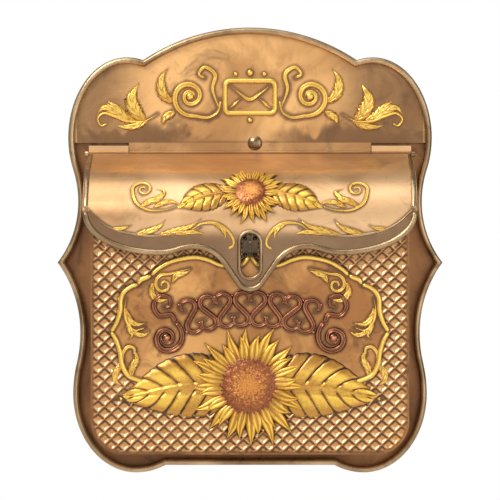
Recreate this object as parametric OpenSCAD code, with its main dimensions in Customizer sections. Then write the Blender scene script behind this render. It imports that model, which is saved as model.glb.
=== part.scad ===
// Wall mounted letter box of pressed and soldered sheet metal: a shaped back plate with a wired
// rolled rim, an embossed header that carries the hinge, a box body and a curved satchel lid that
// closes over a padlock eye.
//
// Frame: the wall is the plane Y = 0, +Y points into the wall and the box stands out towards -Y.
// +Z is up, X is across, and the origin is on the wall in the middle of the height.
// Lengths called "out" are distances from the wall.

/* [Sheet and wire] */
// Thickness of all sheet metal
sheet_t = 0.9; // [0.7:0.1:1.2]
// Diameter of the stiffening wire in the rolled edges
wire_d = 3; // [2:0.2:3.4]
// Diameter of the lid's stiffening wire
lid_wire_d = 2.4; // [1.8:0.2:2.8]
// Gap between a wire and the sheet rolled around it
wire_gap = 0.15; // [0.1:0.05:0.3]

/* [Back plate] */
// Overall height, lobes included
plate_h = 356; // [348:1:430]
// How far the pointed ears stand out past the side of the box
ear_over = 31; // [27:0.5:40]
// How far the round shoulders stand out past the side of the box
shoulder_over = 22.5; // [20:0.5:29]
// Width between the highest points of the two shoulders
shoulder_top_w = 197; // [190:1:220]
// Width between the two valleys beside the top arch
valley_w = 171; // [140:1:178]
// Drop from the top of the arch to the valleys
valley_drop = 26; // [16:0.5:32]
// Rise from a valley to the top of its shoulder
shoulder_rise = 2.2; // [1:0.1:6]
// Height of the widest part of the shoulders above the middle
shoulder_z = 90; // [76:1:104]
// How far the upper waist stands out past the side of the box
waist_over = 14.5; // [13:0.1:17]
// Height of the upper waist above the middle
waist_z = 38.5; // [32:0.5:46]
// Height of the ear tips above the middle
ear_z = -10; // [-14:0.5:4]
// How far the lower waist stands out past the side of the box
low_waist_over = 12.8; // [11:0.1:16]
// Height of the lower waist above the middle
low_waist_z = -66; // [-79:1:-55]
// How far the hips stand out past the side of the box
hip_over = 18.5; // [17:0.5:28]
// Height of the hips above the middle
hip_z = -115; // [-124:1:-100]
// Width between the lowest points of the two bottom lobes
lobe_w = 182; // [152:1:218]
// Width of the straight bottom edge between the lobes
notch_w = 135; // [112:1:146]
// Height of the straight bottom edge above the lobes
notch_rise = 6; // [4:0.5:8]
// How far the rim's wall stands out from the wall behind
rim_out = 10.4; // [9:0.2:13]
// Radius of the wall screw holes
screw_r = 2.75; // [2:0.25:3.5]
// Distance between the wall screw holes from side to side
screw_span_x = 160; // [130:1:192]
// Distance between the wall screw holes from top to bottom
screw_span_z = 104; // [80:1:112]

/* [Header] */
// Height of the header's lower edge above the middle
header_z = 86; // [85:0.5:96]
// Distance of the header's face from the wall
header_out = 10; // [9:0.2:12]
// Width of the hinge tongue in the middle of the header
tongue_w = 194; // [160:1:210]
// Corner radius of the hinge tongue
tongue_corner_r = 6; // [3:0.5:7]
// Diameter of the dome rivet's head
dome_d = 12; // [9:0.5:13]
// Height of the dome rivet's head
dome_h = 2.2; // [1.5:0.1:2.4]
// Sideways place of the dome rivet
dome_x = 4; // [-20:1:20]

/* [Hinge] */
// Diameter of the hinge rod
rod_d = 3; // [2.4:0.2:3.4]
// Radial clearance of the rod in its knuckles
rod_gap = 0.06; // [0.03:0.01:0.09]
// How far the hinge line lies below the header's lower edge
hinge_drop = 9; // [8:0.2:10]
// How far the rod sticks out past the lid on each side
rod_end = 2.6; // [2.2:0.1:3]

/* [Box body] */
// Outside width of the box
box_w = 246; // [220:1:300]
// Height of the box floor's underside above the middle
box_bottom_z = -158; // [-163:1:-150]
// Distance of the front panel's face from the wall
box_out = 84; // [68:1:100]
// Height of the front panel's top edge above the middle
front_top_z = 38; // [32:0.5:40]
// Radius of the box's two bottom corners
box_corner_r = 26; // [18:1:34]
// Width of the folded seam around the front panel
seam_w = 2.6; // [2:0.1:4]
// Width of the flanges that hold the box to the back plate
flange_w = 10; // [8:0.5:14]

/* [Lid] */
// How far the lid stands out past the side of the box
lid_over = 6; // [4:0.5:8]
// How far the outside of the lid's front stands out past the front panel's seam
lid_gap = 8; // [7:0.5:12]
// Radius of the lid's bend
lid_bend_r = 47; // [38:1:56]
// How far the lid's two upturned back ends stand above the hinge line
lid_end_h = 6.5; // [5:0.1:7]
// Height of the centre of the lid's bend above the middle
lid_bend_z = 18.8; // [16:0.2:22]
// Height where the scalloped hem starts at the sides
hem_side_z = 28.8; // [24:0.2:33]
// Half the distance between the lowest points of the two side sags
sag_x = 70; // [58:1:84]
// Height of the side sags
sag_z = -1.7; // [-6:0.1:2]
// Half the distance between the two crests beside the middle point
crest_x = 43; // [40:0.2:48]
// Height of the crests
crest_z = 2.9; // [1:0.1:6]
// Radius of the crests
crest_r = 28; // [22:0.5:31]
// Height of the tip of the middle point
tip_z = -29.9; // [-36:0.1:-28]
// Radius of the tip
tip_r = 11; // [9:0.5:12]
// Width of the hasp slot
slot_w = 14; // [11:0.5:16]
// Height of the hasp slot
slot_h = 33.4; // [31:0.2:36]
// Height of the hasp slot's middle
slot_z = -4; // [-5:0.5:-3]
// Height of the front end of the cheeks' lower edge
cheek_front_z = 32; // [31.6:0.2:40]
// Height of the back end of the cheeks' lower edge
cheek_back_z = 60; // [52:0.5:62]

/* [Padlock eye] */
// Radius of the hole for the padlock
eye_r = 3.3; // [2.6:0.1:3.9]
// Metal around the padlock hole
eye_land = 2.9; // [2.2:0.1:3.2]
// Thickness of the eye
eye_t = 1.8; // [1.4:0.1:3]
// Height of the padlock hole
eye_z = 2.6; // [1:0.2:4]
// Width of the eye's base
eye_base_w = 12; // [10:0.5:13]
// Height of the eye's base
eye_base_h = 17; // [16:0.5:18]

/* [Hidden] */

$fn = 48;
fit_gap = 0.3;              // free space between pieces that move past each other
cut = 1;                    // how far a cutting shape runs past what it cuts
arc_steps = 6;              // straight pieces in each short arc of an outline
half_top = plate_h / 2;
box_half = box_w / 2;
lid_half = box_half + lid_over;
lid_out = box_out + lid_gap;
hinge_z = header_z - hinge_drop;

bead_r = wire_d / 2 + wire_gap + sheet_t;           // outside radius of a rolled, wired edge
lid_bead_r = lid_wire_d / 2 + wire_gap + sheet_t;
lid_end_w = lid_half - tongue_w / 2 - fit_gap;      // width of the lid beside the header's tongue
bead_out = rim_out + bead_r;                        // distance of the rim's wire from the wall
tray_in = bead_r + sheet_t / 2;                     // from the outline to the tray's inner wall

knuckle_in = rod_d / 2 + rod_gap;
knuckle_r = knuckle_in + sheet_t;
hinge = [header_out + knuckle_in, hinge_z];         // (out, z) of the hinge line
tongue_half = tongue_w / 2;
hinge_space = knuckle_r + 2;                        // the lid's top stops this far from the hinge

// The lid's side view: a flat top from the knuckles, tangent to the bend, then an upright front.
bend = [lid_out - lid_bend_r, lid_bend_z];
bend_in = lid_bend_r - sheet_t;
hinge_to_bend = bend - hinge;
top_tilt = atan2(hinge_to_bend[1], hinge_to_bend[0])
    + acos((knuckle_r - lid_bend_r) / norm(hinge_to_bend));     // direction that the top faces
top_dir = [cos(top_tilt), sin(top_tilt)];
lid_mid_out = lid_out - sheet_t / 2;
// Distance from the wall of the middle of the lid's sheet at height z.
function lid_out_at(z) = z > lid_bend_z
    ? bend[0] + sqrt(pow(lid_bend_r, 2) - pow(z - lid_bend_z, 2)) - sheet_t / 2
    : lid_mid_out;

panel_out = box_out - sheet_t;                      // distance of the front panel's face
band_drop = 4;                                      // free space between the band and the lid
band_back_z = hinge_z - knuckle_r - 2.5;            // top of the band at the wall
hem_half = box_half - sheet_t - fit_gap;

eye_front_gap = 0.5;
eye_out = lid_mid_out + lid_bead_r + eye_front_gap + eye_r;
eye_base_t = 1.2;
eye_outer_r = eye_r + eye_land;

rivet_r = 1.6;
rivet_head_r = 3.2;
rivet_head_h = 1.2;
eye_rivet_r = 1;
eye_rivet_head_r = 1.7;
eye_rivet_head_h = 0.8;
dome_shank_r = 2;
dome_z = hinge_z + knuckle_r + fit_gap + dome_d / 2;
spacer_r = 4;
cap_r = knuckle_r;

// ---------- outlines ----------
// Points of an arc around c from angle a0 to a1, without its first point.
function arc(c, r, a0, a1, n) = [for (i = [1:n]) let (a = a0 + (a1 - a0) * i / n)
    [c[0] + r * cos(a), c[1] + r * sin(a)]];
// Quarter of an ellipse around c, from angle a0 to a1, without its first point.
function oval(c, rx, rz, a0, a1, n) = [for (i = [1:n]) let (a = a0 + (a1 - a0) * i / n)
    [c[0] + rx * cos(a), c[1] + rz * sin(a)]];
// An S of two equal arcs from p to q, upright at both ends, without its first point.
function s_upright(p, q, n) = let (
    dx = q[0] - p[0], dz = q[1] - p[1],
    r = (dx * dx + dz * dz) / (4 * abs(dx)),
    side = dx > 0 ? 1 : -1,
    turn = asin(abs(dz) / 2 / r))
    concat(
        [for (i = [1:n]) let (a = turn * i / n)
            [p[0] + side * r * (1 - cos(a)), p[1] - r * sin(a)]],
        [for (i = [1:n]) let (a = turn * (1 - i / n))
            [q[0] - side * r * (1 - cos(a)), q[1] + r * sin(a)]]);
// An arc that is upright at height z of its start p, and ends at q, without its first point.
function arc_from_upright(p, q, n) = let (
    dx = q[0] - p[0], dz = q[1] - p[1],
    r = (dx * dx + dz * dz) / (2 * abs(dx)),
    side = dx > 0 ? 1 : -1,
    turn = asin(abs(dz) / r))
    [for (i = [1:n]) let (a = turn * i / n)
        [p[0] + side * r * (1 - cos(a)), p[1] + sign(dz) * r * sin(a)]];
// An arc that is level at its start p, and ends at q, without its first point.
function arc_from_level(p, q, n) = [for (v = arc_from_upright([p[1], p[0]], [q[1], q[0]], n)) [v[1], v[0]]];
function reversed(list) = [for (i = [len(list) - 1:-1:0]) list[i]];
// The same arcs run the other way, upright or level at their end q, without their first point p.
function arc_to_upright(p, q, n) = without_first(concat(reversed(arc_from_upright(q, p, n)), [q]));
function arc_to_level(p, q, n) = without_first(concat(reversed(arc_from_level(q, p, n)), [q]));
function without_first(list) = [for (i = [1:len(list) - 1]) list[i]];
function arc_point(c, r, a) = [c + r * [cos(a), sin(a)]];

// Right half of the back plate's outline, from the top of the arch down to the middle of the bottom.
valley = [valley_w / 2, half_top - valley_drop];
shoulder_top = [shoulder_top_w / 2, half_top - valley_drop + shoulder_rise];
shoulder = [box_half + shoulder_over, shoulder_z];
waist = [box_half + waist_over, waist_z];
ear = [box_half + ear_over, ear_z];
low_waist = [box_half + low_waist_over, low_waist_z];
hip = [box_half + hip_over, hip_z];
lobe = [lobe_w / 2, -half_top];
notch = [notch_w / 2, -half_top + notch_rise];
plate_half = concat(
    [[0, half_top]],
    arc_from_level([0, half_top], valley, 2 * arc_steps),
    arc_to_level(valley, shoulder_top, 3),
    oval([shoulder_top[0], shoulder[1]], shoulder[0] - shoulder_top[0], shoulder_top[1] - shoulder[1],
        90, 0, 2 * arc_steps),
    s_upright(shoulder, waist, 4),
    arc_from_upright(waist, ear, arc_steps),
    arc_to_upright(ear, low_waist, arc_steps),
    s_upright(low_waist, hip, 4),
    oval([lobe[0], hip[1]], hip[0] - lobe[0], hip[1] - lobe[1], 0, -90, 2 * arc_steps),
    arc_from_level(lobe, notch, 4));
function mirrored(half) = concat(half,
    [for (i = [len(half) - 1:-1:0]) if (half[i][0] > 0) [-half[i][0], half[i][1]]]);
plate_outline = mirrored(plate_half);

// Inward mitre of each corner of a closed clockwise outline: corner + mitre * d is the outline inset by d.
function unit(v) = v / norm(v);
function right_of(v) = [v[1], -v[0]];
function mitre(a, b) = (a + b) / (1 + a * b);
function mitres(p) = [for (i = [0:len(p) - 1]) let (
    before = unit(p[i] - p[(i + len(p) - 1) % len(p)]),
    after = unit(p[(i + 1) % len(p)] - p[i]))
    mitre(right_of(before), right_of(after))];
plate_mitres = mitres(plate_outline);
function inset(d) = plate_outline + plate_mitres * d;

// The lid's scalloped lower edge: the middle line of its bead, from the right side to the left.
crest = [crest_x, crest_z - crest_r];
tip = [0, tip_z + tip_r];
crest_to_tip = tip - crest;
dive = 180 + atan2(-crest_to_tip[1], -crest_to_tip[0])
    + asin((crest_r + tip_r) / norm(crest_to_tip));             // direction down to the tip
sag_rise = [(sag_x + crest_x) / 2, (sag_z + crest_z) / 2];      // where sag turns into crest
hem_x = lid_half - lid_bead_r;
hem_half_path = concat(
    [[hem_x, hem_side_z]],
    oval([sag_x, hem_side_z], hem_x - sag_x, hem_side_z - sag_z, 0, -90, 2 * arc_steps),
    arc_from_level([sag_x, sag_z], sag_rise, 2),
    arc_to_level(sag_rise, [crest_x, crest_z], 2),
    arc(crest, crest_r, 90, dive - 90, 5),
    arc_point(tip, tip_r, dive + 90),
    arc(tip, tip_r, dive + 90, 270, 4));
hem_path = mirrored(hem_half_path);
// Mitres of an open path, whose two ends are cut square.
function open_mitres(p) = let (last = len(p) - 1) [for (i = [0:last])
    i == 0 ? right_of(unit(p[1] - p[0]))
    : i == last ? right_of(unit(p[last] - p[last - 1]))
    : mitre(right_of(unit(p[i] - p[i - 1])), right_of(unit(p[i + 1] - p[i])))];
hem_mitres = open_mitres(hem_path);
hem_outs = [for (p = hem_path) lid_out_at(p[1])];
lid_front = concat(
    [[lid_half, half_top], [lid_half, hem_side_z]],
    hem_path + hem_mitres * lid_bead_r,
    [[-lid_half, hem_side_z], [-lid_half, half_top]]);

// ---------- placing ----------
// Draws a shape of (x, z) as a plate between two distances from the wall.
module upright_plate(out0, out1) {
    translate([0, -out0, 0]) rotate([90, 0, 0]) linear_extrude(out1 - out0) children();
}
// Draws a shape of (out, z) as a bar across the box from x0 to x1.
module across(x0, x1) {
    translate([x1, 0, 0]) rotate([90, 0, -90]) linear_extrude(x1 - x0) children();
}
// A pin or hole along Y.
module pin_out(r, out0, out1, x, z) {
    translate([x, -out0, z]) rotate([90, 0, 0]) cylinder(r = r, h = out1 - out0);
}
// A flat-backed dome head of radius r and height h, its back at distance out.
module dome(r, h, out, x, z) {
    ball = (r * r + h * h) / (2 * h);
    translate([x, -out, z]) rotate([90, 0, 0]) rotate_extrude() intersection() {
        translate([0, h - ball]) circle(r = ball);
        square([r, h]);
    }
}

// ---------- rolled edges ----------
// Section of a rolled edge around its wire: an open curl, the gap towards angle gap_at.
curl_gap = 40;
curl_steps = 8;
function curl(wire_r, gap_at) = let (
    turn = [for (i = [0:curl_steps]) gap_at + curl_gap / 2 + (360 - curl_gap) * i / curl_steps])
    concat(
        [for (a = turn) (wire_r + wire_gap + sheet_t) * [cos(a), sin(a)]],
        [for (i = [curl_steps:-1:0]) (wire_r + wire_gap) * [cos(turn[i]), sin(turn[i])]]);
wire_sides = 8;
function wire(r) = [for (i = [0:wire_sides - 1]) let (a = 360 * i / wire_sides) r * [cos(a), sin(a)]];
// Sweeps a section of (inward, outward) offsets along an outline; inward runs along the mitres.
module sweep_edge(path, mitre_list, outs, section, closed) {
    n = len(path);
    k = len(section);
    spans = closed ? n : n - 1;
    points = [for (i = [0:n - 1], s = section) let (p = path[i] + mitre_list[i] * s[0])
        [p[0], -(outs[i] + s[1]), p[1]]];
    sides = [for (i = [0:spans - 1], j = [0:k - 1]) let (i2 = (i + 1) % n, j2 = (j + 1) % k)
        each [[i * k + j, i2 * k + j, i2 * k + j2], [i * k + j, i2 * k + j2, i * k + j2]]];
    ends = closed ? [] : [[for (j = [0:k - 1]) j], [for (j = [k - 1:-1:0]) (n - 1) * k + j]];
    polyhedron(points, concat(sides, ends));
}

// ---------- back plate ----------
module back_plate() color("peru") {
    difference() {
        union() {
            upright_plate(0, sheet_t) polygon(inset(bead_r - sheet_t / 2));
            upright_plate(0, rim_out) difference() {
                polygon(inset(bead_r - sheet_t / 2));
                polygon(inset(tray_in));
            }
        }
        for (x = [-1, 1], z = [-1, 1])
            pin_out(screw_r, -cut, sheet_t + cut, x * screw_span_x / 2, z * screw_span_z / 2);
        for (spot = band_rivet_spots) pin_out(rivet_r, -cut, sheet_t + cut, spot[0], spot[1]);
        pin_out(dome_shank_r, -cut, sheet_t + cut, dome_x, dome_z);
    }
}
rim_path = inset(bead_r);
rim_outs = [for (p = rim_path) bead_out];
module rolled_rim() color("darkgoldenrod")
    sweep_edge(rim_path, plate_mitres, rim_outs, curl(wire_d / 2, -40), true);
module rim_wire() color("dimgray")
    sweep_edge(rim_path, plate_mitres, rim_outs, wire(wire_d / 2), true);

// ---------- header ----------
module header_panel() color("goldenrod") {
    difference() {
        union() {
            upright_plate(header_out - sheet_t, header_out) intersection() {
                polygon(inset(tray_in));
                translate([-ear[0], header_z]) square([2 * ear[0], half_top]);
            }
            intersection() {
                union() {
                    across(-tongue_half, tongue_half) translate([header_out - sheet_t, hinge_z])
                        square([sheet_t, header_z - hinge_z]);
                    across(-tongue_half, tongue_half) translate(hinge) circle(r = knuckle_r);
                }
                upright_plate(0, hinge[0] + knuckle_r + cut) tongue_shape();
            }
        }
        across(-lid_half, lid_half) translate(hinge) circle(r = knuckle_in);
        pin_out(dome_shank_r, 0, header_out + cut, dome_x, dome_z);
    }
}
// The tongue from the front, with its two lower corners rounded.
module tongue_shape() {
    low = hinge_z - knuckle_r;
    inner = tongue_half - tongue_corner_r;
    translate([-tongue_half, low + tongue_corner_r]) square([tongue_w, header_z]);
    translate([-inner, low]) square([2 * inner, header_z]);
    for (side = [-1, 1]) translate([side * inner, low + tongue_corner_r]) circle(r = tongue_corner_r);
}
module header_spacer() color("silver") difference() {
    pin_out(spacer_r, sheet_t, header_out - sheet_t, dome_x, dome_z);
    pin_out(dome_shank_r, 0, header_out, dome_x, dome_z);
}
module dome_rivet() color("gold") {
    pin_out(dome_shank_r, 0, header_out, dome_x, dome_z);
    dome(dome_d / 2, dome_h, header_out, dome_x, dome_z);
}

// ---------- hinge ----------
rod_half = lid_half + fit_gap + rod_end;
module hinge_rod() color("khaki") across(-rod_half, rod_half) translate(hinge) circle(r = rod_d / 2);
module rod_caps() color("gold") for (side = [-1, 1]) {
    near = side * (lid_half + fit_gap);
    far = side * rod_half;
    across(min(near, far), max(near, far)) translate(hinge) difference() {
        circle(r = cap_r);
        circle(r = rod_d / 2);
    }
}

// The part of the lid's bend of radius r between its flat top and its upright front, seen from the side.
module bend_sector(r) {
    translate(bend) intersection() {
        circle(r = r);
        polygon([[0, 0], [2 * r, 0], [2 * r, 2 * r], 2 * r * top_dir]);
    }
}

// ---------- box body ----------
// The box from the front, its outline moved inwards by d, up to the height top.
module box_shape(d, top) {
    half = box_half - d;
    low = box_bottom_z + d;
    r = box_corner_r - d;
    translate([-half, low + r]) square([2 * half, top - low - r]);
    translate([-half + r, low]) square([2 * (half - r), top - low]);
    for (side = [-1, 1]) translate([side * (half - r), low + r]) circle(r = r);
}
// The box from the side: its top edge follows the lid inside it.
band_bend_r = bend_in - band_drop;
band_top_start = bend + band_bend_r * top_dir;
band_back_out = band_top_start[0] - (band_back_z - band_top_start[1]) * tan(top_tilt);
module band_block() {
    front = box_out + cut;
    low = box_bottom_z - cut;
    across(-box_half - cut, box_half + cut) bend_sector(band_bend_r);
    across(-box_half - cut, box_half + cut) polygon([[0, low], [0, band_back_z],
        [band_back_out, band_back_z], band_top_start, bend, [front, lid_bend_z], [front, low]]);
}
module side_band() color("burlywood") {
    difference() {
        intersection() {
            union() {
                upright_plate(sheet_t, box_out) difference() {
                    box_shape(0, band_back_z + cut);
                    box_shape(sheet_t, band_back_z + 2 * cut);
                }
                upright_plate(sheet_t, 2 * sheet_t) difference() {
                    box_shape(sheet_t / 2, band_back_z + cut);
                    box_shape(flange_w, band_back_z + 2 * cut);
                }
                upright_plate(panel_out, box_out) difference() {
                    box_shape(sheet_t / 2, front_top_z);
                    box_shape(seam_w, front_top_z + cut);
                }
            }
            band_block();
        }
        for (spot = band_rivet_spots) pin_out(rivet_r, 0, 3 * sheet_t, spot[0], spot[1]);
    }
}
// Rivets down each side flange and along the bottom one, in the middle of the flange.
rivet_side_x = box_half - flange_w / 2;
rivet_low_z = box_bottom_z + flange_w / 2;
rivet_edge = 20;                                    // from a flange's end to its last rivet
function rivet_row(from, to, n) = [for (i = [0:n - 1]) from + (to - from) * i / (n - 1)];
band_rivet_spots = concat(
    [for (side = [-1, 1], z = rivet_row(box_bottom_z + box_corner_r + rivet_edge, band_back_z - rivet_edge, 4))
        [side * rivet_side_x, z]],
    [for (x = rivet_row(-rivet_side_x + box_corner_r + rivet_edge, rivet_side_x - box_corner_r - rivet_edge, 3))
        [x, rivet_low_z]]);
module band_rivets() color("silver") for (spot = band_rivet_spots) {
    pin_out(rivet_r, 0, 2 * sheet_t, spot[0], spot[1]);
    dome(rivet_head_r, rivet_head_h, 2 * sheet_t, spot[0], spot[1]);
}
panel_hem = [panel_out - bead_r, front_top_z];      // (out, z) of the wire in the panel's top edge
module front_panel() color("tan") {
    difference() {
        union() {
            upright_plate(panel_out - sheet_t, panel_out) box_shape(sheet_t, front_top_z);
            across(-hem_half, hem_half) translate(panel_hem) circle(r = bead_r);
        }
        across(-box_half, box_half) translate(panel_hem) circle(r = wire_d / 2 + wire_gap);
        for (spot = eye_rivet_spots) pin_out(eye_rivet_r, panel_out - 2, panel_out + cut, spot[0], spot[1]);
    }
}
module front_top_wire() color("dimgray")
    across(-hem_half, hem_half) translate(panel_hem) circle(r = wire_d / 2);

// ---------- padlock eye ----------
eye_rivet_spots = [for (x = [-1, 1], z = [-1, 1])
    [x * (eye_base_w / 2 - eye_rivet_head_r - 0.5), eye_z + z * (eye_base_h / 2 - eye_rivet_head_r - 0.5)]];
module hasp_eye() color("gold") difference() {
    union() {
        upright_plate(panel_out, panel_out + eye_base_t) translate([-eye_base_w / 2, eye_z - eye_base_h / 2])
            square([eye_base_w, eye_base_h]);
        across(-eye_t / 2, eye_t / 2) {
            translate([panel_out, eye_z - eye_outer_r]) square([eye_out - panel_out, 2 * eye_outer_r]);
            translate([eye_out, eye_z]) circle(r = eye_outer_r);
        }
    }
    across(-eye_t, eye_t) translate([eye_out, eye_z]) circle(r = eye_r);
    for (spot = eye_rivet_spots)
        pin_out(eye_rivet_r, panel_out - cut, panel_out + eye_base_t + cut, spot[0], spot[1]);
}
module hasp_rivets() color("silver") for (spot = eye_rivet_spots) {
    pin_out(eye_rivet_r, panel_out - sheet_t, panel_out + eye_base_t, spot[0], spot[1]);
    dome(eye_rivet_head_r, eye_rivet_head_h, panel_out + eye_base_t, spot[0], spot[1]);
}

// ---------- lid ----------
// A block from x0 to x1 that fills the lid up to the surface that lies d under its outside.
module lid_block(x0, x1, d) {
    back = -lid_bend_r;
    low = tip_z - lid_bead_r;
    across(x0, x1) bend_sector(lid_bend_r - d);
    across(x0, x1) polygon([hinge, hinge + (knuckle_r - d) * top_dir,
        bend + (lid_bend_r - d) * top_dir, bend,
        [lid_out - d, lid_bend_z], [lid_out - d, low], [back, low], [back, hinge_z]]);
}
module lid_shell() color("wheat") {
    difference() {
        intersection() {
            union() {
                difference() {
                    lid_block(-lid_half, lid_half, 0);
                    lid_block(-lid_half - cut, lid_half + cut, sheet_t);
                }
                across(-lid_half, lid_half) translate(hinge) circle(r = knuckle_r);
                for (x = [-lid_half, tongue_half + fit_gap]) across(x, x + lid_end_w)
                    translate([hinge[0] - sheet_t / 2, hinge_z]) square([sheet_t, lid_end_h]);
            }
            upright_plate(0, lid_out + cut) polygon(lid_front);
        }
        across(-lid_half - cut, lid_half + cut) translate(hinge) circle(r = knuckle_in);
        across(-tongue_half - fit_gap, tongue_half + fit_gap) translate(hinge) circle(r = hinge_space);
        upright_plate(bend[0], lid_out + cut) slot_shape();
    }
}
module slot_shape() {
    reach = slot_h / 2 - slot_w / 2;
    translate([-slot_w / 2, slot_z - reach]) square([slot_w, 2 * reach]);
    for (z = [-1, 1]) translate([0, slot_z + z * reach]) circle(r = slot_w / 2);
}
cheek_front_out = lid_out - sheet_t;
cheek_back_out = hinge[0] + knuckle_r + 2;
module lid_cheek(side) {
    near = side * (lid_half - 2 * sheet_t);
    far = side * (lid_half - sheet_t);
    intersection() {
        lid_block(min(near, far), max(near, far), sheet_t);
        across(-lid_half, lid_half) polygon([[cheek_front_out, cheek_front_z],
            [cheek_back_out, cheek_back_z], [cheek_back_out, half_top], [cheek_front_out, half_top]]);
    }
}
module lid_cheek_left() color("wheat") lid_cheek(-1);
module lid_cheek_right() color("wheat") lid_cheek(1);
module lid_hem() color("goldenrod")
    sweep_edge(hem_path, hem_mitres, hem_outs, curl(lid_wire_d / 2, -60), false);
module lid_wire() color("dimgray")
    sweep_edge(hem_path, hem_mitres, hem_outs, wire(lid_wire_d / 2), false);

back_plate();
rolled_rim();
rim_wire();
header_panel();
header_spacer();
dome_rivet();
hinge_rod();
rod_caps();
side_band();
band_rivets();
front_panel();
front_top_wire();
hasp_eye();
hasp_rivets();
lid_shell();
lid_cheek_left();
lid_cheek_right();
lid_hem();
lid_wire();
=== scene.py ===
import math
import random

import bmesh
import bpy
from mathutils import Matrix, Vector, kdtree


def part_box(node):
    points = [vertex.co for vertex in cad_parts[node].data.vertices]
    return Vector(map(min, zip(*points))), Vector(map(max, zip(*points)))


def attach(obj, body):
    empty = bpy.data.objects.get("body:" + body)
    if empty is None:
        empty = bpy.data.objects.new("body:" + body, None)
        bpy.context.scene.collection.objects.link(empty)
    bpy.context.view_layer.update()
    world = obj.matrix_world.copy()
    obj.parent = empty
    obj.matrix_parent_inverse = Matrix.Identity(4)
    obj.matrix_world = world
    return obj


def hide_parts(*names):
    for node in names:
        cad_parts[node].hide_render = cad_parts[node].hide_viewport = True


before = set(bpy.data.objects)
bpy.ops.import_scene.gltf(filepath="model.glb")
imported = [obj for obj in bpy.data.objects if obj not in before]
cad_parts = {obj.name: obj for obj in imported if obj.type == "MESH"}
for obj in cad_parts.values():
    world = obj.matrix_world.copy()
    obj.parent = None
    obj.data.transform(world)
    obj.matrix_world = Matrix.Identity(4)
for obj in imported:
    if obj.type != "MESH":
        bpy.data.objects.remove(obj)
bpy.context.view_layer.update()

# Lengths in this script are millimetres until a vertex is placed. A place on a face of the box is
# (x, z, h): across, up, and how far it stands out from that face.
MM = 0.001
SHEET = 0.9                                      # thickness of the sheet metal
random.seed(7)


# ---------------------------------------------------------------- sizes taken from the frame
def low(node, axis):
    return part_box(node)[0][axis] / MM


def high(node, axis):
    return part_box(node)[1][axis] / MM


EYE_RIVET_PROUD = 2.0                            # from the front panel to the tops of the eye's rivets
PANEL_OUT = -low("hasp_rivets", 1) - EYE_RIVET_PROUD
HEADER_OUT = -low("header_spacer", 1) + SHEET
LID_OUT = -low("lid_shell", 1)
LID_HALF = high("lid_shell", 0)
HINGE = (-(low("hinge_rod", 1) + high("hinge_rod", 1)) / 2, (low("hinge_rod", 2) + high("hinge_rod", 2)) / 2)
KNUCKLE_R = 2.46
BEND_R = 47.0                                    # the lid's bend and the height of its centre
BEND_Z = 18.8
BEND_OUT = LID_OUT - BEND_R
HEM_R = 2.25                                     # bead along the lid's edge, and where it starts at the sides
HEM_SIDE_Z = 28.8
SLOT_HALF = 7.0                                  # the slot's half width, its centres' distance and its height
SLOT_REACH = 9.7
SLOT_Z = -4.0
RIM_R = 2.55                                     # rolled rim, and how far its middle is from the wall
RIM_OUT = 12.95
PLATE_TOP = high("rolled_rim", 2)
PLATE_EAR = high("rolled_rim", 0)
NOTCH_RISE = 6
BAND_HALF = high("side_band", 0)
BAND_LOW = low("side_band", 2)
BAND_CORNER = 26.0
SKIN_LIFT = 0.12                                 # from a CAD face to the sheet that covers it

# Direction in which the lid's flat top faces, as an angle above straight out.
_reach = math.hypot(BEND_OUT - HINGE[0], BEND_Z - HINGE[1])
TOP_TILT = (math.atan2(BEND_Z - HINGE[1], BEND_OUT - HINGE[0])
            + math.acos((KNUCKLE_R - BEND_R) / _reach))
BEND_LENGTH = BEND_R * TOP_TILT
TOP_LENGTH = math.sqrt(_reach ** 2 - (BEND_R - KNUCKLE_R) ** 2)


# ---------------------------------------------------------------- faces that carry ornament
def on_panel(x, z, h):
    return Vector((x, -(PANEL_OUT + h), z)) * MM


def on_header(x, z, h):
    return Vector((x, -(HEADER_OUT + h), z)) * MM


def lid_run(z):
    """Distance along the lid's sheet, above the foot of its bend, of a place seen at height z."""
    return z - BEND_Z if z < BEND_Z else BEND_R * math.asin(min(1, (z - BEND_Z) / BEND_R))


def on_lid_run(x, run, h):
    if run <= 0:
        return Vector((x, -(LID_OUT + h), BEND_Z + run)) * MM
    turn = min(run / BEND_R, TOP_TILT)
    past = max(0, run - BEND_LENGTH)
    out = BEND_OUT + (BEND_R + h) * math.cos(turn) - past * math.sin(turn)
    up = BEND_Z + (BEND_R + h) * math.sin(turn) + past * math.cos(turn)
    return Vector((x, -out, up)) * MM


def on_lid(x, z, h):
    return on_lid_run(x, lid_run(z), h)


# ---------------------------------------------------------------- curves
def lerp(a, b, t):
    return a + (b - a) * t


def step(value, start, end):
    """0 before start, 1 after end, smooth between."""
    t = min(1, max(0, (value - start) / (end - start)))
    return t * t * (3 - 2 * t)


def spline(points, steps=10):
    """Smooth curve through the points."""
    ends = [points[0]] + list(points) + [points[-1]]
    out = []
    for p0, p1, p2, p3 in zip(ends, ends[1:], ends[2:], ends[3:]):
        for i in range(steps):
            t = i / steps
            out.append(tuple(0.5 * (2 * b + (c - a) * t + (2 * a - 5 * b + 4 * c - d) * t * t
                                    + (3 * b - a - 3 * c + d) * t ** 3)
                             for a, b, c, d in zip(p0, p1, p2, p3)))
    out.append(tuple(points[-1]))
    return out


def arc(centre, r, start, end, steps=12, rz=None):
    """Arc, or part of an oval of half height rz if that is given, with angles in degrees."""
    rz = r if rz is None else rz
    turns = [math.radians(lerp(start, end, i / steps)) for i in range(steps + 1)]
    return [(centre[0] + r * math.cos(a), centre[1] + rz * math.sin(a)) for a in turns]


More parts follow.
